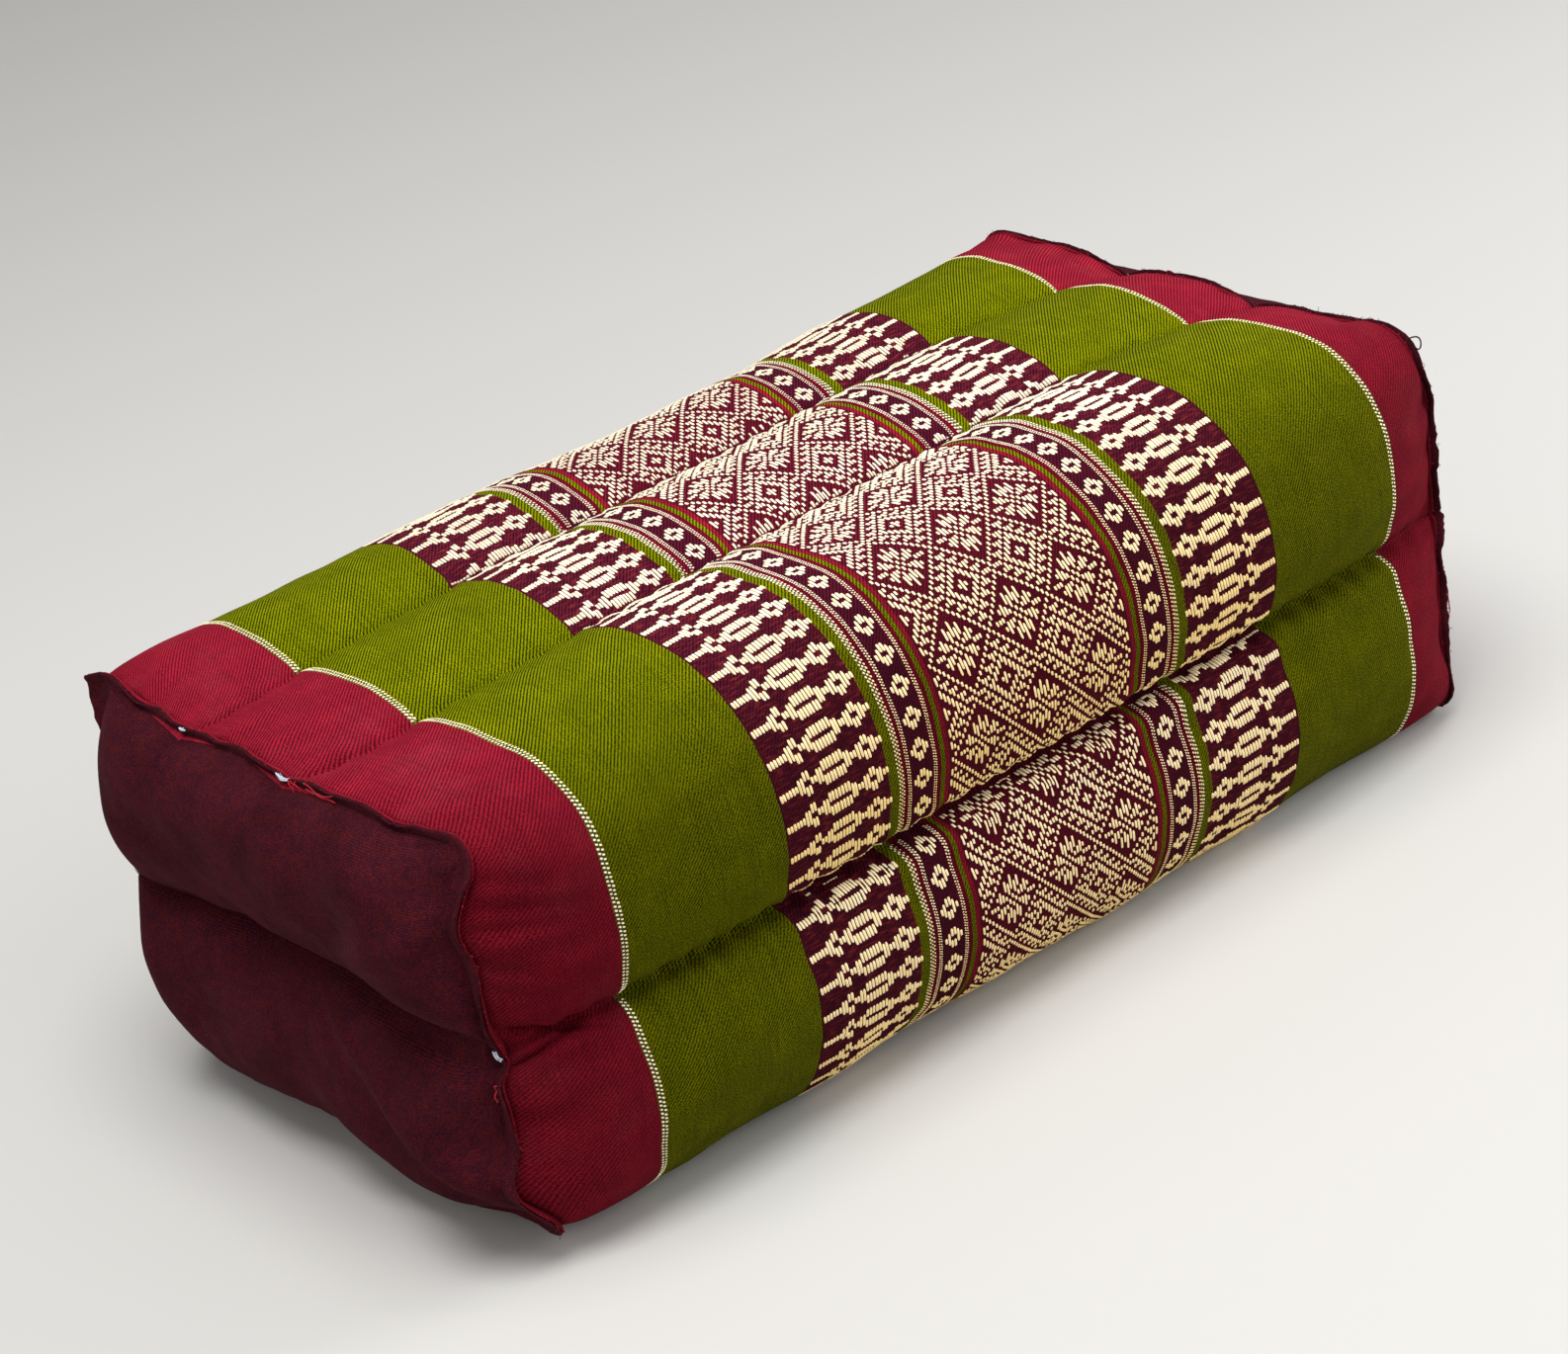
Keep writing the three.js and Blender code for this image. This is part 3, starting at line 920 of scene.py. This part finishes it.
def smooth_path(points, count=18):
    """A curve through a few points."""
    points = np.asarray(points, float)
    marks = np.linspace(0, 1, len(points))
    fine = np.linspace(0, 1, count)
    curve = np.stack([np.interp(fine, marks, points[:, axis]) for axis in range(3)], axis=1)
    for _ in range(3):
        curve[1:-1] = (curve[:-2] + 2 * curve[1:-1] + curve[2:]) / 4
    return curve


def tack_paths():
    """Short stitches along the lip at every channel end, at its edge on the left end."""
    paths = []
    random = np.random.default_rng(201)
    for side in (-1, 1):
        for channel in CHANNELS:
            for strand in range(TACK_STRANDS):
                begin = channel - TACK_BEFORE + random.uniform(-TACK_UNEVEN, TACK_UNEVEN)
                girth = begin + np.linspace(0, random.uniform(*TACK_LENGTH), TACK_POINTS)
                out = PANEL_LIP[side] * random.uniform(*TACK_OUT[side])
                face = LIP_PARTING + LIP_CLOTH * (0.3 + 0.35 * strand if side < 0 else 1.0)
                lift = face + TACK_ARCH * np.sin(np.linspace(0, math.pi, TACK_POINTS))
                path = [lip_point(side, at, out, rise) for at, rise in zip(girth, lift)]
                paths.append(smooth_path(path))
    return paths


# Loose thread ends: end, girth, how far along the seam they run and how far they hang
LOOSE_ENDS = [
    (-1, 6.5, 0.6, 7.0), (-1, 4.0, 6.0, 1.2), (-1, 10.0, 15.0, 0.8), (-1, 24.0, -12.0, 1.4),
    (-1, 3.0, 4.0, 2.6), (-1, 150.0, -2.0, 3.0), (-1, 152.0, 3.0, 1.5),
    (1, 60.0, 4.0, 4.0), (1, -40.0, 5.0, 3.0), (1, 170.0, 4.0, 4.0),
]
LOOSE_POINTS = 9


def loose_paths():
    """Thread ends that hang from the seams over the panels."""
    paths = []
    random = np.random.default_rng(211)
    face = LIP_PARTING + LIP_CLOTH
    for side, at, run, hang in LOOSE_ENDS:
        steps = np.linspace(0, 1, LOOSE_POINTS)
        out = PANEL_LIP[side] * (0.95 - 0.2 * steps)
        lift = face + 0.3 + 0.6 * np.sin(steps * math.pi)
        girth = at + run * steps
        path = [lip_point(side, *where) for where in zip(girth, out, lift)]
        path = np.array(path) + random.normal(0, 0.3, (LOOSE_POINTS, 3)) * steps[:, None]
        path[:, 2] -= hang * steps**2
        path[:, 0] += side * 0.25 * hang * steps
        paths.append(smooth_path(path))
    return paths


def loop_path():
    """A slack loop of dark thread beside one far corner."""
    corner = (CHANNELS[0] + CHANNELS[1]) / 2
    root = lip_point(1, corner + 4.0, PANEL_LIP[1], 0.0)
    turns = np.linspace(0, 1, LOOSE_POINTS)[:, None]
    wide = np.array([0.8, 0.2, 1.7]) * np.sin(turns * 2 * math.pi)
    tall = np.array([2.0, -2.4, -2.6]) * np.sin(turns * math.pi)
    return [smooth_path(root + wide + tall, 24)]


FRAY_COUNT = 340            # stray fibres at each end
FRAY_SLANT = 1.3            # how far a fibre leans along the edge
FRAY_LENGTH = (0.3, 1.3)
FRAY_STRAY = 0.35
FRAY_BEND = 0.2


def fray_paths(reaches, across, seed):
    """Short stray fibres along the cut edge of a lip at both ends."""
    paths = []
    random = np.random.default_rng(seed)
    for side in (-1, 1):
        for at in random.uniform(0, TOTAL_GIRTH, FRAY_COUNT):
            root = lip_point(side, at, reaches[side] * 0.9, across)
            tip = lip_point(side, at + random.normal(0, FRAY_SLANT), reaches[side] * 1.05, across)
            reach = random.uniform(*FRAY_LENGTH)
            way = tip - root + random.normal(0, FRAY_STRAY, 3)
            way = way / np.linalg.norm(way) * reach
            bend = random.normal(0, FRAY_BEND, 3)
            path = np.array([root, root + way * 0.6 + bend, root + way * 1.2 + bend * 0.4])
            path[:, 2] = np.maximum(path[:, 2], LEAST_HEIGHT / 2)
            paths.append(path)
    return paths


# Materials


def place(tree, kind, **values):
    """A new node of that kind with those settings."""
    made = tree.nodes.new("ShaderNode" + kind)
    for name, value in values.items():
        setattr(made, name, value)
    return made


def feed(tree, socket, value):
    """Links another node's output to the socket, or sets the socket's own value."""
    if isinstance(value, bpy.types.NodeSocket):
        tree.links.new(value, socket)
    else:
        socket.default_value = value


def set_values(made, values):
    for name, value in values.items():
        made.inputs[name].default_value = value


def maths(tree, operation, *values):
    made = place(tree, "Math", operation=operation)
    for socket, value in zip(made.inputs, values):
        feed(tree, socket, value)
    return made.outputs[0]


def blend(tree, share, first, second, way="MIX"):
    made = place(tree, "Mix", data_type="RGBA", blend_type=way)
    feed(tree, made.inputs[0], share)
    feed(tree, made.inputs[6], first)
    feed(tree, made.inputs[7], second)
    return made.outputs[2]


def tinted(tree, base, tint):
    """A colour times a tint."""
    return blend(tree, 1.0, base, (*tint, 1.0), "MULTIPLY")


def to_range(tree, value, low, high, new_low=0.0, new_high=1.0):
    made = place(tree, "MapRange")
    for socket, given in zip(made.inputs, (value, low, high, new_low, new_high)):
        feed(tree, socket, given)
    return made.outputs[0]


def worked_in(tree, base, other, amount, span, most=1.0):
    """The base colour, with up to so much of another one as an amount rises through a span."""
    return blend(tree, to_range(tree, amount, *span, 0.0, most), base, other)


def colour(values):
    """A colour given from 0 to 255, as the shader counts it."""
    linear = []
    for value in values:
        share = value / 255
        linear.append(share / 12.92 if share <= 0.04045 else ((share + 0.055) / 1.055) ** 2.4)
    return (*linear, 1.0)


def new_material(name):
    material = bpy.data.materials.new(name)
    material.use_nodes = True
    tree = material.node_tree
    return material, tree, tree.nodes["Principled BSDF"]


def cloth_places(tree):
    """The cloth's own two coordinates, in millimetres."""
    uv = place(tree, "UVMap", uv_map="cloth")
    parts = place(tree, "SeparateXYZ")
    tree.links.new(uv.outputs[0], parts.inputs[0])
    along = maths(tree, "MULTIPLY", parts.outputs[0], 1 / MM)
    round_it = maths(tree, "MULTIPLY", parts.outputs[1], 1 / MM)
    return along, round_it


def speckle(tree, places, scale_along, scale_round, detail=2.0):
    """Noise that may be longer one way than the other."""
    along, round_it = places
    where = place(tree, "CombineXYZ")
    feed(tree, where.inputs[0], maths(tree, "MULTIPLY", along, scale_along))
    feed(tree, where.inputs[1], maths(tree, "MULTIPLY", round_it, scale_round))
    made = place(tree, "TexNoise", noise_dimensions="2D")
    tree.links.new(where.outputs[0], made.inputs["Vector"])
    set_values(made, {"Scale": 1.0, "Detail": detail})
    return made.outputs["Fac"]


def ripple(tree, value, period):
    """A wave from 0 to 1 with that period."""
    angle = maths(tree, "MULTIPLY", value, 2 * math.pi / period)
    return maths(tree, "MULTIPLY_ADD", maths(tree, "SINE", angle), 0.5, 0.5)


SHEEN_ROUGHNESS = 0.45


def set_fabric(shader, roughness, gloss, sheen, sheen_tint):
    set_values(shader, {
        "Roughness": roughness, "Specular IOR Level": gloss, "Sheen Weight": sheen,
        "Sheen Roughness": SHEEN_ROUGHNESS, "Sheen Tint": (*sheen_tint, 1.0),
    })


def add_bump(tree, shader, height, strength, distance):
    bump = place(tree, "Bump")
    set_values(bump, {"Strength": strength, "Distance": distance})
    feed(tree, bump.inputs["Height"], height)
    tree.links.new(bump.outputs[0], shader.inputs["Normal"])


# Bands of the wrap from its middle to its end: where each begins and the colour of its ground.
BANDS = [
    (0.0, CLARET),
    (33.6, CRIMSON),
    (35.4, OLIVE),
    (37.5, DARK_RED),
    (38.8, CLARET),
    (40.4, MAROON),
    (48.3, CLARET),
    (49.8, DARK_RED),
    (50.8, MOSS),
    (53.0, OLIVE),
    (55.5, MAROON),
    (91.7, OLIVE),
    (143.5, FLAX),
    (145.0, CRIMSON),
]
BAND_SPAN = 200.0


def band_ramp(tree, away, thread):
    """The colour of the light (0) or the dark (1) thread of each band."""
    ramp = place(tree, "ValToRGB")
    ramp.color_ramp.interpolation = "CONSTANT"
    stops = ramp.color_ramp.elements
    while len(stops) < len(BANDS):
        stops.new(0.5)
    for index, (start, shades) in enumerate(BANDS):
        stops[index].position = start / BAND_SPAN
        stops[index].color = colour(shades[thread])
    feed(tree, ramp.inputs[0], maths(tree, "DIVIDE", away, BAND_SPAN))
    return ramp.outputs[0]


# The weave of the wrap, and the shade painted on its cloth and its yarn towards the front and the back
TWILL_ALONG = 1.19                 # the twill's repeat along the cushion
TWILL_ROUND = 1.40                 # and round it
WARP_STEP = 0.43                   # between two warps, which cross the twill's ribs
RIB_CONTRAST = (0.84, 0.50)        # of the twill's ribs, on the top and on the front and back
WARP_CONTRAST = (0.16, 0.50)       # and of the warps
MOTIF_BAND = (73.6, 18.0)          # middle and half width of the wide dark band
RED_ENDS = 146.0                   # along the cushion, where the crimson ends begin
DYE_LIGHTER = (1.4, 1.3, 1.2)      # tint where the dye took less
SHADE_TO_FRONT = (38.0, 85.0)      # girths over which the lit top turns to the front with painted shade
SHADE_TO_BACK = (-112.0, -156.0)   # and to the back
SIDE_SHADE_TINT = (0.50, 0.465, 0.46)      # tint of painted shade on the front and back of the cloth against the lit top
YARN_WARM_SHADE = (1.0, 0.81, 0.44)      # tint of painted warm shade on the yarn, for shade and warm bounce light away from the top
WARM_SHADE_UPPER = (40.0, 118.0)         # girths over which it turns so on the upper lobe of the front
WARM_SHADE_LOWER = (CHANNELS[1], 205.0)  # and on the lower lobe
LINE_GOLD = (1.0, 0.97, 0.85)      # tint of the outer cream lines
LINES_FROM = 120.0                 # along the cushion, where these begin
YARN_BACK_SHADE = (0.88, 0.87, 0.86)     # tint of painted shade on the yarn towards the back of the top
YARN_BACK_SHADE_FROM = (-20.0, -75.0)    # girths over which it turns so
YARN_SHADE = (0.92, 0.87, 0.78)    # tint between the strands of one yarn


def twill(tree, places):
    """The height of the weave from 0 to about 1, and the mask of the front and the back where shade is
    painted.
    """
    along, round_it = places
    phase = maths(tree, "ADD", maths(tree, "DIVIDE", along, TWILL_ALONG),
                  maths(tree, "DIVIDE", round_it, TWILL_ROUND))
    # Mask of the front and the back, where shade is painted
    front = to_range(tree, round_it, *SHADE_TO_FRONT)
    back = to_range(tree, round_it, *SHADE_TO_BACK)
    painted_side_shade = maths(tree, "MAXIMUM", front, back)
    rib_contrast = to_range(tree, painted_side_shade, 0.0, 1.0, *RIB_CONTRAST)
    ribs = maths(tree, "MULTIPLY", ripple(tree, phase, 1.0), rib_contrast)
    warp = ripple(tree, maths(tree, "ADD", round_it, maths(tree, "MULTIPLY", phase, 0.2)), WARP_STEP)
    weave = maths(tree, "MULTIPLY_ADD", warp, to_range(tree, painted_side_shade, 0.0, 1.0, *WARP_CONTRAST), ribs)
    flecks = speckle(tree, places, 1.9, 2.4, 2.0)
    weave = maths(tree, "ADD", weave, maths(tree, "MULTIPLY_ADD", flecks, 1.5, -0.75))
    return weave, painted_side_shade


def wrap_material():
    """Firm cotton woven in bands: ribs of a fine twill, uneven dye, slubs and light scuffs, with
    painted shade on its front and back.
    """
    material, tree, shader = new_material("woven_bands")
    places = cloth_places(tree)
    along = places[0]
    waver = maths(tree, "MULTIPLY_ADD", speckle(tree, places, 0.02, 0.12), 0.6, -0.3)
    shifted = maths(tree, "ADD", maths(tree, "SUBTRACT", along, PATTERN_SHIFT), waver)
    away = maths(tree, "ABSOLUTE", shifted)
    light = band_ramp(tree, away, 0)
    dark = band_ramp(tree, away, 1)
    weave, painted_side_shade = twill(tree, places)
    woven = worked_in(tree, dark, light, weave, (0.28, 0.72))
    slubs = speckle(tree, places, 1.1, 0.05, 3.0)
    woven = worked_in(tree, woven, dark, slubs, (0.45, 0.8), 0.3)
    from_motifs = maths(tree, "ABSOLUTE", maths(tree, "SUBTRACT", away, MOTIF_BAND[0]))
    in_motifs = maths(tree, "LESS_THAN", from_motifs, MOTIF_BAND[1])
    streaks = speckle(tree, places, 0.28, 1.5, 3.0)
    rust = maths(tree, "MULTIPLY", to_range(tree, streaks, 0.5, 0.75, 0.0, 0.6), in_motifs)
    woven = blend(tree, rust, woven, colour(RUST))
    dye = speckle(tree, places, 0.11, 0.13, 4.0)
    woven = worked_in(tree, woven, tinted(tree, woven, DYE_LIGHTER), dye, (0.42, 0.75), 0.6)
    fibres = speckle(tree, places, 0.9, 1.6, 3.0)
    worn = speckle(tree, places, 0.06, 0.05, 3.0)
    on_ends = maths(tree, "GREATER_THAN", away, RED_ENDS)
    seldom = maths(tree, "MULTIPLY", to_range(tree, worn, 0.5, 0.7, 0.0, 0.05), on_ends)
    scuffed = maths(tree, "MULTIPLY", to_range(tree, fibres, 0.45, 0.7, 0.2, 1.0), seldom)
    woven = blend(tree, scuffed, woven, colour(SCUFF))
    # Painted shade: the cloth's front and back are darkened against its lit top
    woven = blend(tree, painted_side_shade, woven, tinted(tree, woven, SIDE_SHADE_TINT))
    feed(tree, shader.inputs["Base Color"], woven)
    set_fabric(shader, 0.9, 0.02, 0.005, (1.0, 0.5, 0.4))
    add_bump(tree, shader, weave, 0.55, 0.00022)
    return material


def yarn_material():
    """Soft cream cotton yarn, a little uneven in colour from float to float, with painted warm shade
    on the front and back and painted shade towards the back of the top.
    """
    material, tree, shader = new_material("cream_yarn")
    places = cloth_places(tree)
    along, round_it = places
    strands = ripple(tree, along, 0.36)
    uneven = speckle(tree, places, 0.8, 0.35, 2.0)
    base = worked_in(tree, colour(CREAM_LIGHT), colour(CREAM_DARK), uneven, (0.3, 0.7))
    # Painted warm shade: the yarn turns golden on the front and the back, away from the lit top
    below = maths(tree, "GREATER_THAN", round_it, WARM_SHADE_LOWER[0])
    upper = to_range(tree, round_it, *WARM_SHADE_UPPER)
    lower = to_range(tree, round_it, *WARM_SHADE_LOWER, 0.35, 1.0)
    back = to_range(tree, round_it, *SHADE_TO_BACK)
    front = maths(tree, "ADD", maths(tree, "MULTIPLY", below, lower),
                  maths(tree, "MULTIPLY", maths(tree, "SUBTRACT", 1.0, below), upper))
    lined = tinted(tree, base, LINE_GOLD)
    base = blend(tree, maths(tree, "MAXIMUM", front, back), base, tinted(tree, base, YARN_WARM_SHADE))
    # Painted shade: the yarn darkens towards the back of the top
    base = worked_in(tree, base, tinted(tree, base, YARN_BACK_SHADE), round_it, YARN_BACK_SHADE_FROM)
    on_lines = maths(tree, "GREATER_THAN", maths(tree, "ABSOLUTE", along), LINES_FROM)
    base = blend(tree, on_lines, base, lined)
    shaded = tinted(tree, base, YARN_SHADE)
    feed(tree, shader.inputs["Base Color"], blend(tree, strands, shaded, base))
    set_fabric(shader, 0.75, 0.06, 0.03, (1.0, 0.96, 0.85))
    add_bump(tree, shader, strands, 0.3, 0.0001)
    return material


# Tints of the panels' uneven dye
CLOUD_TINT = (0.62, 0.6, 0.66)
BLUER_TINT = (0.86, 0.92, 1.08)
REDDER_TINT = (1.15, 1.06, 0.93)
FLECK_TINT = (0.74, 0.74, 0.78)
PANEL_THREAD = 0.62   # the repeat of the panels' plain weave


def panel_material():
    """Plain dark cotton with a fine nap and a little pale lint."""
    material, tree, shader = new_material("aubergine_cloth")
    places = cloth_places(tree)
    along, round_it = places
    crossed = ripple(tree, round_it, PANEL_THREAD)
    weave = maths(tree, "MULTIPLY", ripple(tree, along, PANEL_THREAD), crossed)
    nap = speckle(tree, places, 1.2, 1.6, 4.0)
    fibre = maths(tree, "MULTIPLY_ADD", weave, 0.35, maths(tree, "MULTIPLY", nap, 0.65))
    base = worked_in(tree, colour(AUBERGINE_DARK), colour(AUBERGINE_LIGHT), fibre, (0.2, 0.65))
    cloudy = speckle(tree, places, 0.05, 0.06, 4.0)
    base = worked_in(tree, base, tinted(tree, base, CLOUD_TINT), cloudy, (0.35, 0.7), 0.8)
    blotches = speckle(tree, places, 0.3, 0.34, 3.0)
    bluer = tinted(tree, base, BLUER_TINT)
    base = worked_in(tree, bluer, tinted(tree, base, REDDER_TINT), blotches, (0.38, 0.62))
    flecks = speckle(tree, places, 0.8, 0.7, 2.0)
    base = worked_in(tree, base, tinted(tree, base, FLECK_TINT), flecks, (0.42, 0.62), 0.4)
    lint = speckle(tree, places, 2.4, 2.4, 1.0)
    base = worked_in(tree, base, colour(LINT), lint, (0.76, 0.86), 0.25)
    feed(tree, shader.inputs["Base Color"], base)
    set_fabric(shader, 0.92, 0.03, 0.012, (0.9, 0.5, 0.52))
    add_bump(tree, shader, fibre, 0.4, 0.0003)
    return material


def thread_material(name, shade):
    """Twisted sewing thread."""
    material, tree, shader = new_material(name)
    where = place(tree, "TexCoord")
    twist = place(tree, "TexNoise")
    set_values(twist, {"Scale": 900.0})
    tree.links.new(where.outputs["Object"], twist.inputs["Vector"])
    dark = tuple(0.6 * value for value in colour(shade)[:3]) + (1.0,)
    feed(tree, shader.inputs["Base Color"], blend(tree, twist.outputs["Fac"], dark, colour(shade)))
    set_fabric(shader, 0.6, 0.06, 0.1, (1.0, 1.0, 1.0))
    return material


# Floor, light and camera

DAY_LIGHT = (1.0, 0.99, 0.97)
WARM_LIGHT = (1.0, 0.97, 0.92)
SKY_STRENGTH = 0.4


def make_floor():
    material, _, shader = new_material("plain_floor")
    set_values(shader, {"Base Color": colour(FLOOR_COLOUR), "Roughness": 0.8})
    mesh = bpy.data.meshes.new("floor")
    far = 12.0
    corners = [(-far, -far, 0), (far, -far, 0), (far, far, 0), (-far, far, 0)]
    mesh.from_pydata(corners, [], [(0, 1, 2, 3)])
    mesh.materials.append(material)
    floor = bpy.data.objects.new("floor", mesh)
    bpy.context.scene.collection.objects.link(floor)


def add_light(name, spot, aim, size, power, shade):
    """A round area light in metres and watts."""
    data = bpy.data.lights.new(name, "AREA")
    data.shape = "DISK"
    data.size = size
    data.energy = power
    data.color = shade
    light = bpy.data.objects.new(name, data)
    light.location = spot
    light.rotation_euler = (Vector(aim) - Vector(spot)).to_track_quat("-Z", "Y").to_euler()
    bpy.context.scene.collection.objects.link(light)


def make_light():
    world = bpy.data.worlds.new("studio")
    world.use_nodes = True
    sky = world.node_tree.nodes["Background"]
    sky.inputs[0].default_value = (1.0, 1.0, 1.0, 1.0)
    sky.inputs[1].default_value = SKY_STRENGTH
    bpy.context.scene.world = world
    add_light("overhead", (-0.25, -0.25, 1.5), (0.0, 0.0, 0.07), 1.1, 23.0, DAY_LIGHT)
    add_light("from_right", (1.3, -0.6, 0.45), (0.1, 0.0, 0.07), 0.8, 16.0, DAY_LIGHT)
    add_light("from_front", (-0.1, -1.5, 0.8), (0.0, 0.0, 0.07), 1.0, 3.6, WARM_LIGHT)
    add_light("from_left", (-1.2, 0.4, 0.4), (-0.1, 0.0, 0.07), 0.9, 2.4, WARM_LIGHT)


def make_camera():
    data = bpy.data.cameras.new("camera")
    data.lens = CAMERA_LENS
    data.sensor_width = SENSOR
    turn = math.radians(CAMERA_AZIMUTH)
    lift = math.radians(CAMERA_ELEVATION)
    flat = math.cos(lift)
    back = Vector((math.sin(turn) * flat, -math.cos(turn) * flat, math.sin(lift)))
    camera = bpy.data.objects.new("camera", data)
    camera.location = (Vector(CAMERA_TARGET) + back * CAMERA_DISTANCE) * MM
    level = (-back).to_track_quat("-Z", "Y").to_matrix()
    camera.rotation_euler = (level @ Matrix.Rotation(math.radians(CAMERA_ROLL), 3, "Z")).to_euler()
    bpy.context.scene.collection.objects.link(camera)
    bpy.context.scene.camera = camera


# Building


def make_pattern(yarn):
    make_floats("field_yarn", field_floats(), yarn, 0.3, False, 101)
    for side, name in ((-1, "left"), (1, "right")):
        make_floats("motif_yarn_" + name, motif_floats(side), yarn, 0.38, False, 110 + side)
        make_floats("ring_yarn_" + name, ring_floats(side), yarn, 0.34, False, 120 + side)
        make_floats("stripe_yarn_" + name, stripe_floats(side), yarn, 0.28, True, 130 + side)


def make_panels():
    cloth = panel_material()
    for side, name in ((-1, "left"), (1, "right")):
        panel = make_panel(side, "end_cloth_" + name, "end_panel_" + name, cloth)


def make_sewing():
    red = thread_material("red_thread", RED_THREAD)
    dark = thread_material("dark_thread", DARK_THREAD)
    make_threads("tack_threads", tack_paths(), 0.27, thread_material("white_thread", WHITE_THREAD))
    make_threads("loose_threads", loose_paths(), 0.2, red)
    make_threads("thread_loop", loop_path(), 0.24, dark)
    middle = LIP_PARTING + LIP_CLOTH / 2
    make_threads("wrap_fray", fray_paths(WRAP_LIP, -middle, 221), 0.09, red, 3)
    make_threads("panel_fray", fray_paths(PANEL_LIP, middle, 231), 0.09, dark, 3)


make_wrap(wrap_material())
make_pattern(yarn_material())
make_panels()
make_sewing()
make_floor()
make_light()
make_camera()
bpy.context.scene.view_settings.view_transform = "Standard"
